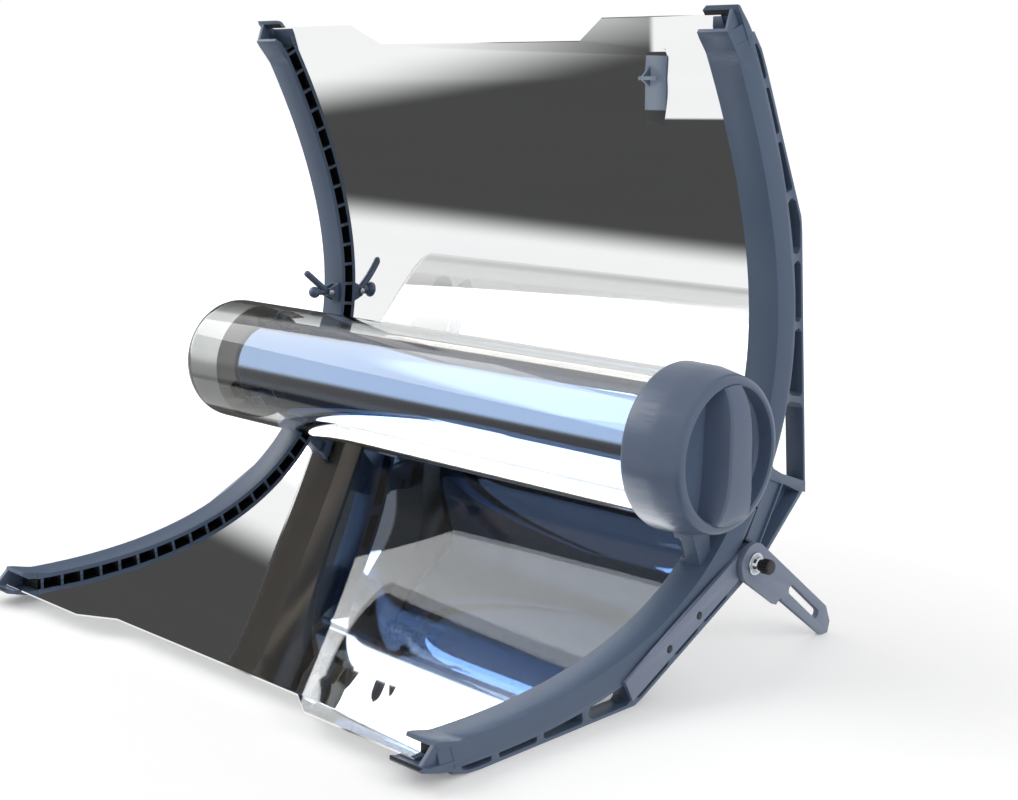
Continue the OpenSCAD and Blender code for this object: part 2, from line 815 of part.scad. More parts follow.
module getter_film_body() {
    gap = 0.1;
    out_r = tube_r - glass_t - gap;
    round_out = end_round - glass_t - gap;
    far = tube_end - glass_t - gap;
    rotate_extrude()
        polygon(concat(
            [[0, -far]],
            arc(round_out - far, out_r - round_out, round_out, -90, 0),
            [[out_r, film_len - tube_end], [out_r - film_t, film_len - tube_end]],
            turned(arc(round_out - far, out_r - round_out, round_out - film_t, -90, 0)),
            [[0, film_t - far]]
        ));
}

// A sprung star of flat steel: a disc behind the inner glass, and three fingers that run
// forward over it and spread to the outer glass
module finger_spring_body() {
    disc_x = -inner_end - 0.3 - finger_t;
    lift = 0.6;
    arm_r = inner_r + lift;
    rim_r = tube_r - glass_t - film_t - 0.4;
    mid = finger_len * 0.45;
    for (turn = [60, 180, 300])
        rotate([0, 0, turn])
            translate([0, finger_w / 2, 0])
                rotate([90, 0, 0])
                    linear_extrude(finger_w)
                        polygon([
                            [0, disc_x],
                            [arm_r + finger_t, disc_x],
                            [arm_r + finger_t, disc_x + mid],
                            [rim_r, disc_x + mid + 8],
                            [rim_r - 4, disc_x + finger_len],
                            [rim_r - 4 - finger_t, disc_x + finger_len],
                            [rim_r - finger_t, disc_x + mid + 9],
                            [arm_r, disc_x + mid + 0.5],
                            [arm_r, disc_x + finger_t],
                            [0, disc_x + finger_t]
                        ]);
    translate([0, 0, disc_x]) cylinder(h = finger_t, r = inner_r * 0.6);
}

module mouth_ring_body() {
    rotate_extrude()
        polygon([
            [inner_r - inner_t + 0.2, mouth_x + seat_gap],
            [tube_r - 0.5, mouth_x + seat_gap],
            [tube_r - 1.5, mouth_x + 2.2],
            [inner_r - inner_t + 1, mouth_x + 2.2]
        ]);
}

// A cradle stands on the front face of each lower rib and carries the tube from below. The
// left one stands further back, below the silvery end of the tube.
cradle_x = cap_back_x - cradle_w - 0.5;
function aim_at(mid) = atan2(curve_a(mid), curve_u(mid));
function arc_points(r, from, to, n) =
    [for (i = [0 : n]) let (t = from + (to - from) * i / n) r * [cos(t), sin(t)]];

module cradle_outline(mid, top_r) {
    base = run(mid - cradle_foot, mid + cradle_foot, front_d + seat_gap, 6);
    spread = asin(cradle_top / top_r);
    polygon(concat(base, arc_points(top_r, aim_at(mid) + spread, aim_at(mid) - spread, 8)));
}

module cradle(mid) {
    pad_r = tube_r + 2 * seat_gap + pad_t;
    reach = mid + cradle_top + 6;
    difference() {
        union() {
            slab(cradle_x, cradle_w) cradle_outline(mid, pad_r);
            slab(cradle_x + cradle_w - 1, cradle_len - cradle_w + 1)
                cradle_outline(mid, cap_r + 2 * run_gap);
        }
        slab(cradle_x - 1, cradle_hollow + 1)
            polygon([
                at(mid - 3, front_d + cradle_sole),
                at(reach, front_d + cradle_sole),
                at(reach, front_d + cradle_recess),
                at(mid - 3, front_d + cradle_recess)
            ]);
    }
}

module cradle_pad(mid) {
    inner = tube_r + seat_gap;
    spread = asin((cradle_top - 0.5) / inner);
    from = aim_at(mid) - spread;
    to = aim_at(mid) + spread;
    slab(cradle_x + 0.5, cradle_w - 1)
        polygon(concat(
            arc_points(inner, from, to, 10),
            arc_points(inner + pad_t - 0.02, to, from, 10)
        ));
}

// The cap: a domed shell with a round dish in its front and a grip bar across the dish
module cap_shell_body() {
    skirt_in = tube_r + run_gap;
    web_x = mouth_x + 3;
    round_b = 5;
    floor_x = cap_front_x - dish_depth;
    rotate_extrude()
        polygon(concat(
            [[skirt_in, cap_back_x]],
            arc(cap_back_x + round_b, cap_r - round_b, round_b, -90, 0),
            [[cap_r - 0.6, cap_front_x - 24], [cap_front_r, cap_front_x - 8]],
            arc(cap_front_x - 6, cap_front_r - 6.5, 6, 10, 80),
            [[dish_r + 1.2, cap_front_x]],
            [[dish_r, cap_front_x - 1], [dish_r - 1.5, floor_x + 2]],
            [[dish_r - 3.5, floor_x], [0, floor_x]],
            [[0, web_x], [skirt_in, web_x]]
        ));
    grip();
}

// The grip bar stands upright in the dish. It is built from slices that follow its outline.
module grip() {
    floor_x = cap_front_x - dish_depth;
    half_len = dish_r + 1;
    n = 12;
    function half_at(t) =
        t > 0 ? grip_half + (grip_high - grip_half) * t * t
              : grip_half + (grip_low - grip_half) * t * t;
    function rise_at(t) = grip_rise * (1 - 0.9 * t * t * t * t);
    draft = 2.2;
    points = [
        for (i = [0 : n])
            let (t = -1 + 2 * i / n, w = half_at(t), h = cap_front_x + rise_at(t))
            each [
                [-t * half_len, w + draft, floor_x - 1],
                [-t * half_len, w, h - 1.5],
                [-t * half_len, w - 2, h],
                [-t * half_len, 2 - w, h],
                [-t * half_len, -w, h - 1.5],
                [-t * half_len, -w - draft, floor_x - 1]
            ]
    ];
    m = 6;
    walls = [
        for (i = [0 : n - 1], j = [0 : m - 1])
            let (a = i * m + j, b = i * m + (j + 1) % m)
            each [[a, b, a + m], [b, b + m, a + m]]
    ];
    first = [for (j = [m - 1 : -1 : 0]) j];
    last = [for (j = [0 : m - 1]) n * m + j];
    intersection() {
        polyhedron(points, concat(walls, [first], [last]), convexity = 4);
        translate([0, 0, floor_x - 2]) cylinder(h = dish_depth + grip_rise + 4, r = dish_r + 0.6);
    }
}

plug_r = inner_r - inner_t - 0.6;
plug_x = mouth_x + 3 - seat_gap;
module cap_plug_body() {
    groove = 3;
    rotate_extrude()
        polygon([
            [0, plug_x - plug_len],
            [plug_r - 2, plug_x - plug_len],
            [plug_r, plug_x - plug_len + 2],
            [plug_r, plug_x - 16],
            [plug_r - groove, plug_x - 16],
            [plug_r - groove, plug_x - 10],
            [plug_r, plug_x - 10],
            [plug_r, plug_x],
            [0, plug_x]
        ]);
}

module cap_seal_body() {
    lip = 0.4;
    rotate_extrude()
        polygon([
            [plug_r - 2.9, plug_x - 15.9],
            [plug_r + lip * 0.3, plug_x - 15.9],
            [plug_r + lip, plug_x - 14.5],
            [plug_r + lip * 0.3, plug_x - 13],
            [plug_r + lip, plug_x - 11.5],
            [plug_r + lip * 0.3, plug_x - 10.1],
            [plug_r - 2.9, plug_x - 10.1]
        ]);
}

tray_head = plug_x - plug_len - 3;
screw_r = 2;
screw_up = -14;
screw_apart = 32;
module tray_frame() {
    oven()
        translate([0, 0, axis_h])
            rotate([90, 0, 90])
                children();
}

module at_screws() {
    tray_frame()
        for (side = [-1, 1])
            translate([side * screw_apart / 2, screw_up, plug_x - plug_len - seat_gap])
                children();
}

module tray_body() {
    n = 24;
    rim = 3;
    function ring(r) = [for (i = [0 : n]) let (t = -180 * i / n) r * [cos(t), sin(t)]];
    tray_frame() {
        translate([0, 0, -tray_end])
            linear_extrude(tray_head + tray_end)
                polygon(concat(ring(tray_r), turned(ring(tray_r - tray_t))));
        translate([0, 0, -tray_end])
            linear_extrude(tray_t + 0.5)
                polygon(ring(tray_r - tray_t + 0.2));
        for (side = [-1, 1])
            translate([side * (tray_r - rim / 2 - 0.2) - rim / 2, -0.5, -tray_end])
                cube([rim, tray_t, tray_head + tray_end]);
    }
}

bracket_t = 2;
module tray_bracket_body() {
    out = tray_r - tray_t - seat_gap;
    back_x = plug_x - plug_len - seat_gap - bracket_t;
    overlap = 22;
    n = 16;
    function ring(r) = [for (i = [0 : n]) let (t = -165 * i / n - 7.5) r * [cos(t), sin(t)]];
    difference() {
        tray_frame() {
            translate([0, 0, back_x])
                linear_extrude(bracket_t) polygon(ring(out));
            translate([0, 0, back_x - overlap])
                linear_extrude(overlap + 0.5)
                    polygon(concat(ring(out), turned(ring(out - 1.5))));
        }
        at_screws() cylinder(h = 20, r = screw_r + pin_gap, center = true);
    }
}

module tray_screw() {
    head_h = 2.4;
    translate([0, 0, -bracket_t - seat_gap - head_h])
        cylinder(h = head_h, r = 1.9 * screw_r);
    translate([0, 0, -bracket_t - seat_gap - 0.1])
        cylinder(h = 13, r = screw_r);
}

// The latch on the upper left rib: a forked bracket, its pin and a rod with a ball
latch_x = -rib_in - 9;
module latch_frame() {
    foot = at(latch_s, front_d + latch_h);
    turn = half_tilt + atan(slope(latch_s));
    translate([foot[0], foot[1], latch_x]) rotate([0, 0, turn]) children();
}

module latch_bracket_body() {
    half = 9;
    wall = 2;
    gap = 7.2;
    foot_pts = run(latch_s - half, latch_s + half, front_d + seat_gap, 4);
    pivot = at(latch_s, front_d + latch_h);
    left_pt = at(latch_s - 3.5, front_d + latch_h + 2);
    right_pt = at(latch_s + 3.5, front_d + latch_h + 2);
    difference() {
        union() {
            for (z = [latch_x - gap / 2 - wall, latch_x + gap / 2])
                slab(z, wall) polygon(concat(foot_pts, [right_pt, left_pt]));
            slab(latch_x - gap / 2 - wall, gap + 2 * wall)
                polygon(concat(foot_pts, turned(run(latch_s - half, latch_s + half,
                    front_d + seat_gap + 2, 4))));
        }
        translate([pivot[0], pivot[1], latch_x - 20])
            cylinder(h = 40, r = 1.5 + pin_gap);
    }
}

module latch_pin_body() {
    latch_frame() {
        translate([0, 0, -7]) cylinder(h = 14, r = 1.5);
        translate([0, 0, 5.8]) cylinder(h = 1.4, r = 2.6);
        translate([0, 0, -7.2]) cylinder(h = 1.4, r = 2.6);
    }
}

module latch_lever_body() {
    hub_w = 6.4;
    ball_out = 16;
    latch_frame()
        difference() {
            union() {
                translate([0, 0, -hub_w / 2]) cylinder(h = hub_w, r = 4);
                rotate([0, 0, -latch_lean])
                    rotate([-90, 0, 0]) {
                        cylinder(h = latch_len, r = latch_r - 0.3);
                        translate([0, 0, latch_len]) sphere(r = latch_r - 0.3, $fn = 24);
                    }
                rotate([-90, 0, 0]) {
                    cylinder(h = ball_out - 3, r = latch_r - 0.6);
                    translate([0, 0, ball_out]) sphere(r = 5.5, $fn = 24);
                }
            }
            translate([0, 0, -hub_w]) cylinder(h = 2 * hub_w, r = 1.5 + pin_gap);
        }
}

// The hinge pin goes in from the inner side, with a washer under its head
hinge_washer_t = 1;
hinge_washer_x = rib_in + inset - seat_gap - hinge_washer_t;
module hinge_pin() {
    head_h = 1.8;
    head_x = hinge_washer_x - seat_gap - head_h;
    translate([0, -hinge_back, head_x + 0.1])
        cylinder(h = rib_out - hinge_stop - 0.6 - head_x, r = hinge_pin_r);
    translate([0, -hinge_back, head_x])
        cylinder(h = head_h, r = hinge_pin_r + 2);
}

module hinge_washer() {
    translate([0, -hinge_back, hinge_washer_x])
        difference() {
            cylinder(h = hinge_washer_t, r = hinge_pin_r + 2);
            translate([0, 0, -1]) cylinder(h = 3, r = hinge_pin_r + pin_gap);
        }
}

module rib_lower_right() { color(slate) lower_half() lower_rib(); }
module rib_lower_left() { color(slate) lower_half() left() lower_rib(); }
module rib_upper_right() { color(slate) trough() upper_rib(); }
module rib_upper_left() { color(slate) trough() left() upper_rib(); }
module mirror_lower() { color(silver) lower_half() mirror_sheet(); }
module mirror_upper() { color(silver) trough() mirror_sheet(); }
module cradle_right() { color(dark_slate) lower_half() cradle(cradle_right_s); }
module cradle_left() { color(dark_slate) lower_half() left() cradle(cradle_left_s); }
module cradle_pad_right() { color(black) lower_half() cradle_pad(cradle_right_s); }
module cradle_pad_left() { color(black) lower_half() left() cradle_pad(cradle_left_s); }
module front_bar_right() { color(leg_grey) lower_half() front_bar(); }
module front_bar_left() { color(leg_grey) lower_half() left() front_bar(); }
module outer_glass() { color(glass) along_tube() outer_glass_body(); }
module inner_glass() { color(coat_blue) along_tube() inner_glass_body(); }
module getter_film() { color(silver) along_tube() getter_film_body(); }
module finger_spring() { color(steel) along_tube() finger_spring_body(); }
module mouth_ring() { color(black) along_tube() mouth_ring_body(); }
module cap_shell() { color(slate) along_tube() cap_shell_body(); }
module cap_seal() { color(black) along_tube() cap_seal_body(); }
module tray() { color(steel) tray_body(); }
module tray_bracket() { color(steel) tray_bracket_body(); }
module tray_screws() { color(steel) at_screws() tray_screw(); }
module rear_leg_right() { color(leg_grey) at_bolt() rear_leg(); }
module rear_leg_left() { color(leg_grey) at_bolt() left() rear_leg(); }
module stand_bolt_right() { color(steel) at_bolt() stand_bolt(); }
module stand_bolt_left() { color(steel) at_bolt() left() stand_bolt(); }
module clamp_knob_right() { color(black) at_bolt() clamp_knob(); }
module clamp_knob_left() { color(black) at_bolt() left() clamp_knob(); }
module clamp_insert_right() { color(brass) at_bolt() clamp_insert(); }
module clamp_insert_left() { color(brass) at_bolt() left() clamp_insert(); }
module latch_bracket() { color(slate) trough() latch_bracket_body(); }
module latch_pin() { color(steel) trough() latch_pin_body(); }
module latch_lever() { color(leg_grey) trough() latch_lever_body(); }

module cap_plug() {
    color(dark_slate)
        difference() {
            along_tube() cap_plug_body();
            at_screws() cylinder(h = 30, r = screw_r + pin_gap, center = true);
        }
}

module bar_rivets() {
    color(black)
        for (along = bar_rivets_at) {
            lower_half() rivet_place(along) rivet();
            lower_half() left() rivet_place(along) rivet();
        }
}

module hinge_pins() {
    color(steel) {
        trough() hinge_pin();
        trough() left() hinge_pin();
    }
}

module hinge_washers() {
    color(steel) {
        trough() hinge_washer();
        trough() left() hinge_washer();
    }
}

module bolt_washers() {
    color(steel) {
        at_bolt() bolt_washer();
        at_bolt() left() bolt_washer();
    }
}

rib_lower_right();
rib_lower_left();
mirror_lower();
cradle_right();
cradle_left();
cradle_pad_right();
cradle_pad_left();
outer_glass();
inner_glass();
getter_film();
finger_spring();
front_bar_right();
front_bar_left();
bar_rivets();
hinge_pins();
hinge_washers();
stand_bolt_right();
stand_bolt_left();
bolt_washers();
rib_upper_right();
rib_upper_left();
mirror_upper();
latch_bracket();
latch_pin();
latch_lever();
rear_leg_right();
rear_leg_left();
clamp_knob_right();
clamp_knob_left();
clamp_insert_right();
clamp_insert_left();
cap_shell();
cap_plug();
cap_seal();
tray();
tray_bracket();
tray_screws();
mouth_ring();
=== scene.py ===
import math

import bpy
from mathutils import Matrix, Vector


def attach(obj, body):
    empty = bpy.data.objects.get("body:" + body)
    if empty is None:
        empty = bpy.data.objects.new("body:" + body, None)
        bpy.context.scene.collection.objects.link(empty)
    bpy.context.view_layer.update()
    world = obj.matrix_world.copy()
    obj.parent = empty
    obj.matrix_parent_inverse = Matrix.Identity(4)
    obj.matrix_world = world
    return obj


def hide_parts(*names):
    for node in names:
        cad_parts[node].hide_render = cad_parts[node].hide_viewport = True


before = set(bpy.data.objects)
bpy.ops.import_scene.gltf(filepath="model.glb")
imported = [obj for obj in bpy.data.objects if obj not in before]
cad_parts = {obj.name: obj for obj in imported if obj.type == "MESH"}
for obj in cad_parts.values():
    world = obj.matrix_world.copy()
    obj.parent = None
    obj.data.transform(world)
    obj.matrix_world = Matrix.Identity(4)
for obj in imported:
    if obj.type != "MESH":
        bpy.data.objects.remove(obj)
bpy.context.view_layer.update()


# The camera stands in front of the oven's right end, a little above the tube. Its lens and
# place were solved from the glass tube, the ribs and the edges of the mirrors.
axis_point = Vector((-0.0092, 0.0489553, 0.178))
from_axis = Vector((0.9797, -0.9132, 0.2638))
down_tilt = 12.12
turn_left = 44.86
bpy.ops.object.camera_add(
    location=axis_point + from_axis,
    rotation=(math.radians(90 - down_tilt), 0, math.radians(turn_left)))
camera = bpy.context.object
camera.data.lens = 58.04
camera.data.shift_x = 0.01395
camera.data.shift_y = 0.0242
bpy.context.scene.camera = camera
bpy.context.scene.view_settings.view_transform = "Standard"


# The materials are built from node sockets. An expression on Values adds its Math nodes.
class Value:
    def __init__(self, paint, socket):
        self.paint = paint
        self.socket = socket

    def math(self, operation, a, b):
        return self.paint.node("ShaderNodeMath", {"operation": operation}, {0: a, 1: b})

    def __add__(self, other):
        return self.math("ADD", self, other)

    def __radd__(self, other):
        return self.math("ADD", other, self)

    def __sub__(self, other):
        return self.math("SUBTRACT", self, other)

    def __rsub__(self, other):
        return self.math("SUBTRACT", other, self)

    def __mul__(self, other):
        return self.math("MULTIPLY", self, other)

    def __rmul__(self, other):
        return self.math("MULTIPLY", other, self)


class Paint:
    def __init__(self, name):
        self.material = bpy.data.materials.new(name)
        self.material.use_nodes = True
        self.tree = self.material.node_tree
        self.shader = self.tree.nodes["Principled BSDF"]

    def node(self, kind, settings=None, inputs=None, out=0):
        made = self.tree.nodes.new(kind)
        for name, value in (settings or {}).items():
            setattr(made, name, value)
        for name, value in (inputs or {}).items():
            self.feed(made.inputs[name], value)
        return Value(self, made.outputs[out])

    def feed(self, socket, value):
        if isinstance(value, Value):
            self.tree.links.new(value.socket, socket)
        else:
            socket.default_value = value

    def set(self, **values):
        for name, value in values.items():
            self.feed(self.shader.inputs[name.replace("_", " ")], value)

    def place(self):
        return self.node("ShaderNodeTexCoord", out=3)

    def noise(self, scale, detail, rough, where=None):
        return self.node("ShaderNodeTexNoise", {}, {
            "Vector": where or self.place(), "Scale": scale, "Detail": detail,
            "Roughness": rough})

    def blend(self, factor, first, second):
        return self.node("ShaderNodeMix", {"data_type": "RGBA"},
                         {0: factor, 6: first, 7: second}, out=2)

    def bump(self, height, strength, distance):
        return self.node("ShaderNodeBump", {}, {
            "Height": height, "Strength": strength, "Distance": distance})


def grey(level):
    return (level, level, level, 1)


def rgb(red, green, blue):
    """Turns a screen colour from 0 to 255 into the linear one that a shader takes."""
    def linear(part):
        part = part / 255
        return part / 12.92 if part <= 0.04045 else ((part + 0.055) / 1.055) ** 2.4
    return (linear(red), linear(green), linear(blue), 1)


# Moulded parts leave the tool with small rounded edges, which catch the light as fine lines.
# A copy of the solid's mesh gets them here: loose triangles are joined, flat faces are made
# whole, and every edge sharper than the corner angle is rounded.
join_gap = 0.00001
flat_angle = 0.6
smooth_angle = 35


def moulded(node, name, edge, body, paint, corner=28):
    bpy.ops.object.select_all(action="DESELECT")
    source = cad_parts[node]
    made = bpy.data.objects.new(name, source.data.copy())
    bpy.context.scene.collection.objects.link(made)
    made.data.name = name
    made.data.materials.clear()
    made.data.materials.append(paint.material)
    bpy.context.view_layer.objects.active = made
    made.select_set(True)
    bpy.ops.object.mode_set(mode="EDIT")
    bpy.ops.mesh.select_all(action="SELECT")
    bpy.ops.mesh.remove_doubles(threshold=join_gap)
    bpy.ops.mesh.customdata_custom_splitnormals_clear()
    bpy.ops.mesh.dissolve_limited(angle_limit=math.radians(flat_angle))
    bpy.ops.object.mode_set(mode="OBJECT")
    if edge:
        rounding = made.modifiers.new("edges", "BEVEL")
        rounding.width = edge
        rounding.segments = 2
        rounding.limit_method = "ANGLE"
        rounding.angle_limit = math.radians(corner)
        bpy.ops.object.modifier_apply(modifier="edges")
    bpy.ops.object.shade_smooth_by_angle(angle=math.radians(smooth_angle))
    made.select_set(False)
    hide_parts(node)
    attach(made, body)
    return made


# The four end ribs are moulded from slate blue, glass-filled plastic with a fine matt grain.
# Each carries a mirror sheet in a toothed slot and is stiffened by a truss behind it.
slate = Paint("slate_plastic")
grain = slate.noise(900, 3, 0.6)
cloud = slate.noise(9, 2, 0.5)
slate.set(
    Base_Color=slate.blend(cloud, rgb(72, 88, 111), rgb(80, 97, 120)),
    Roughness=0.36 + 0.10 * grain,
    Normal=slate.bump(grain, 0.12, 0.0004))

# Painted shade: a near-black paint with a faint random grain that stands in for the shade deep
# in the ribs' slots and truss cells.
slot_shade = Paint("slot_painted_shade")
slot_shade_grain = slot_shade.noise(700, 2, 0.5)
slot_shade.set(
    Base_Color=slot_shade.blend(slot_shade_grain, rgb(15, 16, 19), rgb(24, 26, 30)),
    Roughness=0.7 + 0.2 * slot_shade_grain)


# The inside of the slot is painted near black as painted shade, so the slate teeth stand out.
# Its faces are found by their place across the mirror's curve, a parabola about the tube's axis
# (sizes in millimetres): half is 1 above the axis and -1 below it, depth is counted from the
# rib's inner face. The walls of the truss's cells lie at the same depth as the slot's end wall,
# and get the same painted shade.
mouth_tilt = math.radians(32.57)
half_tilt = math.radians(7.79)
focal = 96.8
vertex_back = 89.1
vertex_out = 35.9
inner_face = 241.4
slot_front, slot_end, wall_end = 0.3, 15.4, 15.9
slot_floor, slot_roof = -1.2, 5.3


def paint_slot_shade(rib, half):
    rib.data.materials.append(slot_shade.material)
    for face in rib.data.polygons:
        place = (face.center - axis_point) * 1000
        ahead = place.z * math.sin(mouth_tilt) - place.y * math.cos(mouth_tilt) + vertex_back
        outward = (place.y * math.sin(mouth_tilt) + place.z * math.cos(mouth_tilt)) * half
        outward -= vertex_out
        along = ahead * math.sin(half_tilt) + outward * math.cos(half_tilt)
        height = ahead * math.cos(half_tilt) - outward * math.sin(half_tilt)
        off = (height - along * along / (4 * focal)) / math.hypot(1, along / (2 * focal))
        depth = abs(place.x) - inner_face
        in_slot = slot_front < depth < slot_end and slot_floor < off < slot_roof
        if in_slot or slot_end <= depth < wall_end:
            face.material_index = 1


for side in ("right", "left"):
    paint_slot_shade(moulded("rib_lower_" + side, "lower_rib_" + side, 0.0005, "lower_half", slate), -1)
    paint_slot_shade(moulded("rib_upper_" + side, "upper_rib_" + side, 0.0005, "upper_half", slate), 1)
    moulded("cradle_" + side, "tube_cradle_" + side, 0.0006, "lower_half", slate)


# The mirrors are thin sheets with a bright film, bent into the ribs' slots. The film is
# nearly perfect, with faint streaks along the rolling direction.
film = Paint("mirror_film")
streak = film.node("ShaderNodeMapping", {}, {"Vector": film.place(), "Scale": (1.2, 9.0, 9.0)})
rolled = film.noise(3.0, 2, 0.5, streak)
film.set(
    Base_Color=film.blend(rolled, rgb(238, 239, 240), rgb(246, 247, 247)),
    Metallic=1.0,
    Roughness=0.004 + 0.008 * rolled)
for half in ("lower", "upper"):
    moulded("mirror_" + half, "sheet_" + half, 0, half + "_half", film)


# The outer tube is clear borosilicate glass, drawn and closed to a rounded end.
clear = Paint("clear_glass")
wave = clear.noise(14, 1, 0.4)
clear.set(
    Base_Color=clear.blend(wave, (0.96, 0.985, 0.99, 1), (0.98, 0.995, 1, 1)),
    Roughness=0.01)
clear.shader.inputs["IOR"].default_value = 1.47
clear.shader.inputs["Transmission Weight"].default_value = 1.0
moulded("outer_glass", "outer_tube", 0, "lower_half", clear)


# The inner glass carries the absorber coat, a smooth blue film of metal that mirrors the room.
coat = Paint("absorber_coat")
drift = coat.noise(7, 2, 0.5)
coat.set(
    Base_Color=coat.blend(drift, rgb(158, 186, 229), rgb(166, 193, 233)),
    Metallic=1.0,
    Roughness=0.02 + 0.02 * drift)
moulded("inner_glass", "absorber_tube", 0, "lower_half", coat)


# The closed end of the outer tube is silvered inside by a film that keeps the vacuum clean.
silvered = Paint("getter_silver")
mist = silvered.noise(30, 3, 0.6)
silvered.set(
    Base_Color=silvered.blend(mist, rgb(214, 215, 214), rgb(240, 240, 239)),
    Metallic=0.6,
    Roughness=0.24 + 0.12 * mist)
moulded("getter_film", "silver_end", 0, "lower_half", silvered)


# The inner tube is held by a sprung star of thin stainless strip.
strip = Paint("spring_strip")
brushed = strip.noise(260, 2, 0.5)
strip.set(
    Base_Color=strip.blend(brushed, rgb(176, 178, 180), rgb(214, 216, 217)),
    Metallic=1.0,
    Roughness=0.22 + 0.12 * brushed)
moulded("finger_spring", "sprung_star", 0, "lower_half", strip)


# Stand bars and legs are stamped plate with a satin blue grey coat.
stand_coat = Paint("stand_coat")
speck = stand_coat.noise(420, 3, 0.6)
stand_coat.set(
    Base_Color=stand_coat.blend(speck, rgb(112, 122, 142), rgb(124, 134, 154)),
    Roughness=0.36 + 0.10 * speck,
    Metallic=0.25)
for side in ("right", "left"):
    moulded("front_bar_" + side, "stand_bar_" + side, 0.0006, "lower_half", stand_coat)
    moulded("rear_leg_" + side, "stand_leg_" + side, 0.0007, "leg_" + side, stand_coat)


# The cap is one moulding in the ribs' plastic, with a grip bar across the dish in its front.
cap_paint = Paint("cap_plastic")
cap_grain = cap_paint.noise(900, 3, 0.6)
cap_cloud = cap_paint.noise(11, 2, 0.5)
cap_paint.set(
    Base_Color=cap_paint.blend(cap_cloud, rgb(78, 93, 116), rgb(86, 101, 125)),
    Roughness=0.27 + 0.10 * cap_grain,
    Normal=cap_paint.bump(cap_grain, 0.12, 0.0004))
moulded("cap_shell", "tube_cap", 0.0009, "drawer", cap_paint, 24)
moulded("cap_plug", "cap_insulation", 0.0008, "drawer", slate)
moulded("latch_lever", "latch_rod", 0, "latch", cap_paint)
moulded("latch_bracket", "latch_fork", 0.0004, "upper_half", slate)


# Clamp knobs are black ribbed plastic on a brass thread, outside a polished domed washer.
knob_black = Paint("knob_black")
pebble = knob_black.noise(500, 2, 0.5)
knob_black.set(
    Base_Color=knob_black.blend(pebble, rgb(18, 18, 19), rgb(32, 32, 33)),
    Roughness=0.42 + 0.12 * pebble)
for side in ("right", "left"):
    moulded("clamp_knob_" + side, "clamp_grip_" + side, 0.0003, "clamp_" + side, knob_black)

bright = Paint("polished_washer")
dust = bright.noise(200, 2, 0.5)
bright.set(
    Base_Color=bright.blend(dust, rgb(186, 189, 195), rgb(216, 219, 223)),
    Metallic=1.0,
    Roughness=0.08 + 0.10 * dust)
moulded("bolt_washers", "domed_washers", 0.0002, "lower_half", bright)

brass = Paint("thread_brass")
turned = brass.noise(300, 2, 0.5)
brass.set(
    Base_Color=brass.blend(turned, rgb(186, 154, 88), rgb(212, 180, 112)),
    Metallic=1.0,
    Roughness=0.25 + 0.10 * turned)
for side in ("right", "left"):
    moulded("clamp_insert_" + side, "thread_insert_" + side, 0, "clamp_" + side, brass)


# Pins, bolts, flat washers, the tray and its holder are plain stainless steel.
steel = Paint("plain_steel")
satin = steel.noise(320, 3, 0.6)
steel.set(
    Base_Color=steel.blend(satin, rgb(168, 170, 172), rgb(204, 206, 208)),
    Metallic=1.0,
    Roughness=0.24 + 0.14 * satin)
for node, name, body in (
        ("hinge_pins", "fold_pins", "lower_half"),
        ("hinge_washers", "fold_washers", "lower_half"),
        ("stand_bolt_right", "clamp_bolt_right", "lower_half"),
        ("stand_bolt_left", "clamp_bolt_left", "lower_half"),
        ("latch_pin", "latch_axle", "upper_half"),
        ("tray", "food_tray", "drawer"),
        ("tray_bracket", "tray_holder", "drawer"),
        ("tray_screws", "tray_holder_screws", "drawer")):
    moulded(node, name, 0.0001, body, steel)


# Soft black silicone: the cradle pads, the seal and the ring on the glass's mouth.
soft_black = Paint("silicone")
matt = soft_black.noise(380, 2, 0.5)
soft_black.set(
    Base_Color=soft_black.blend(matt, rgb(26, 26, 27), rgb(40, 40, 41)),
    Roughness=0.6 + 0.15 * matt)
for node, name, body in (
        ("cradle_pad_right", "cradle_cushion_right", "lower_half"),
        ("cradle_pad_left", "cradle_cushion_left", "lower_half"),
        ("mouth_ring", "glass_rim_ring", "lower_half"),
        ("cap_seal", "plug_seal", "drawer")):
    moulded(node, name, 0.0002, body, soft_black)


# The bar's rivets are blackened steel.
rivet_black = Paint("rivet_black")
burnt = rivet_black.noise(300, 2, 0.5)
rivet_black.set(
    Base_Color=rivet_black.blend(burnt, rgb(34, 38, 46), rgb(52, 56, 66)),
    Metallic=0.6,
    Roughness=0.35 + 0.15 * burnt)
moulded("bar_rivets", "bar_rivet_heads", 0.0002, "lower_half", rivet_black)


# Studio: a white floor that carries the shadow, and soft lamps overhead and at the sides.
# The camera sees the floor a little lighter than the lamps make it, more so far from the
# oven, so that it fades to white.
floor_size = 30
floor_height = -0.0002
fade_start, fade_end = 0.45, 1.3
near_glow, far_glow = grey(0.16), grey(0.60)
no_glow = grey(0.0)
bpy.ops.mesh.primitive_plane_add(size=floor_size, location=(0, 0, floor_height))
floor = bpy.context.object
floor.name = "studio_floor"
ground = Paint("floor_white")
rays = ground.node("ShaderNodeLightPath").socket.node.outputs
seen = Value(ground, rays["Is Camera Ray"]) + Value(ground, rays["Is Glossy Ray"])
seen = seen + Value(ground, rays["Is Transmission Ray"])
reach = ground.node("ShaderNodeVectorMath", {"operation": "LENGTH"}, {0: ground.place()}, out=1)
far = ground.node("ShaderNodeMapRange", {"interpolation_type": "SMOOTHSTEP"},
                  {0: reach, 1: fade_start, 2: fade_end, 3: 0.0, 4: 1.0})
ground.set(
    Base_Color=ground.blend(seen, grey(0.72), grey(0.93)),
    Emission_Color=ground.blend(seen, no_glow, ground.blend(far, near_glow, far_glow)),
    Roughness=0.9)
ground.shader.inputs["Specular IOR Level"].default_value = 0.0
ground.shader.inputs["Emission Strength"].default_value = 1.0
floor.data.materials.append(ground.material)
floor.visible_glossy = False
floor.visible_transmission = False


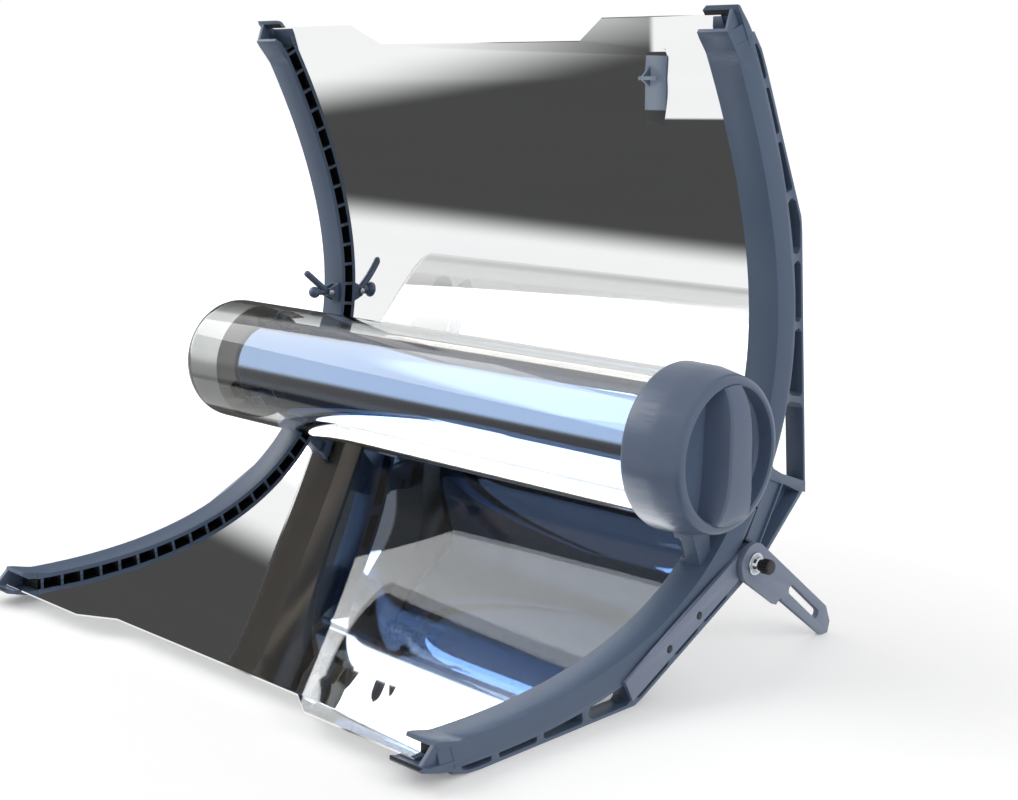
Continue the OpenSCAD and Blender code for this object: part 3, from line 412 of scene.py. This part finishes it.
# Sizes are in metres, powers in watts. The lamps aren't seen through the glass, and the two
# fills aren't seen in the mirrors.
def softbox(name, place, aim, width, height, power):
    bpy.ops.object.light_add(type="AREA", location=place)
    lamp = bpy.context.object
    lamp.name = name
    lamp.data.shape = "RECTANGLE"
    lamp.data.size = width
    lamp.data.size_y = height
    lamp.data.energy = power
    lamp.visible_transmission = False
    lamp.rotation_euler = (Vector(aim) - Vector(place)).to_track_quat("-Z", "Y").to_euler()
    return lamp


softbox("key_box", (-1.75, -0.85, 1.6), (0, 0, 0.2), 1.9, 1.3, 26)
for fill in (
        softbox("side_box", (2.4, 0.2, 1.2), (0, 0, 0.2), 1.2, 1.4, 16),
        softbox("back_box", (-0.4, 2.4, 1.8), (0, 0, 0.3), 2.0, 1.0, 14)):
    fill.visible_glossy = False


# The room is white to the camera. Polished sheet and the coated tube also see two dark flags
# in it, a wide one low in front and a tall one on the left, as in a studio that lights mirrors.
# A bright window above them lights the coat of the tube, and the front flag reaches higher for
# what is seen in the coat. What has bounced many times sees a dim room, and the tube's image in
# a mirror a warmer one, which takes the blue out of it.
def toward(turn, rise):
    """A direction: turn in degrees from the back to the right, rise above the horizon."""
    turn = math.radians(turn)
    rise = math.radians(rise)
    return Vector((math.sin(turn) * math.cos(rise), math.cos(turn) * math.cos(rise),
                   math.sin(rise)))


class Room(Paint):
    def __init__(self, world):
        world.use_nodes = True
        self.tree = world.node_tree
        self.background = self.tree.nodes["Background"]
        self.way = self.node("ShaderNodeTexCoord", out=0)

    def side(self, first, second, inside, soft):
        """One on the side of the line through two directions on which inside lies. The edge
        fades over soft degrees to either side."""
        across = first.cross(second).normalized()
        if across.dot(inside) < 0:
            across = -across
        along = self.node("ShaderNodeVectorMath", {"operation": "DOT_PRODUCT"},
                          {0: self.way, 1: across}, out=1)
        reach = math.sin(math.radians(soft))
        return self.node("ShaderNodeMapRange", {"interpolation_type": "SMOOTHSTEP"},
                         {0: along, 1: -reach, 2: reach, 3: 0.0, 4: 1.0})

    def above(self, value, limit):
        return self.node("ShaderNodeMath", {"operation": "GREATER_THAN"}, {0: value, 1: limit})


world = bpy.data.worlds.new("studio")
bpy.context.scene.world = world
room = Room(world)
low = toward(-140, -45)
front_flag = (room.side(toward(-117.7, -29.5), toward(-123.7, -39), low, 1.6)
              * room.side(toward(-133, -21.3), toward(-143, -23), low, 2.5)
              * room.side(toward(-60, 0), toward(-60, -60), low, 8))
gap = toward(-129.6, -42.4)
window = (room.side(toward(-124.15, -39.7), toward(-128.8, -35.6), gap, 0.12)
          * room.side(toward(-128.8, -35.6), toward(-131.2, -37.1), gap, 0.12)
          * room.side(toward(-124, -50), toward(-136, -50), gap, 0.5))
left = toward(-60, 0)
left_flag = (room.side(toward(-43, 0), toward(-43, 30), left, 2)
             * room.side(toward(-75, 0), toward(-75, 30), left, 3)
             * room.side(toward(-55, 33), toward(-65, 33), left, 4))
dark = front_flag * (1 - window) + left_flag
high = toward(-115, 50)
bright_window = (room.side(toward(-144, 13), toward(-104, 37), high, 1.5)
                 * room.side(toward(-146, 0), toward(-146, 40), high, 3)
                 * room.side(toward(-85, 0), toward(-85, 40), high, 5)
                 * room.side(toward(-85, 55), toward(-145, 55), toward(-115, 20), 3))
coat_flag = (room.side(toward(-100, -1), toward(-160, -3), low, 4)
             * room.side(toward(-60, 0), toward(-60, -60), low, 8))
rays = room.node("ShaderNodeLightPath").socket.node.outputs
through_glass = Value(room, rays["Is Transmission Ray"])
bounced = room.above(Value(room, rays["Glossy Depth"]), 0.5)
mirrored = room.above(Value(room, rays["Glossy Depth"]), 1.5)
deep = room.above(Value(room, rays["Glossy Depth"]), 2.5)
met_tube = room.above(Value(room, rays["Transmission Depth"]), 3.5)
diffuse = Value(room, rays["Is Diffuse Ray"])
plain_white = grey(1.0)
window_white = grey(1.7)
coat_black = grey(0.025)
flag_black = grey(0.070)
dim_room = (0.17, 0.16, 0.145, 1)
warm_white = (0.42, 0.33, 0.26, 1)
warm_black = (0.09, 0.07, 0.055, 1)
ambient_cut = 0.42
seen_room = room.blend(bright_window * bounced, plain_white, window_white)
seen_room = room.blend(coat_flag * through_glass * bounced, seen_room, coat_black)
seen_room = room.blend(dark * bounced, seen_room, flag_black)
seen_room = room.blend(deep, seen_room, dim_room)
warm_room = room.blend(dark + coat_flag, warm_white, warm_black)
seen_room = room.blend(mirrored * met_tube, seen_room, warm_room)
room.feed(room.background.inputs["Color"], room.blend(diffuse, seen_room, plain_white))
room.feed(room.background.inputs["Strength"], 1 - ambient_cut * diffuse)
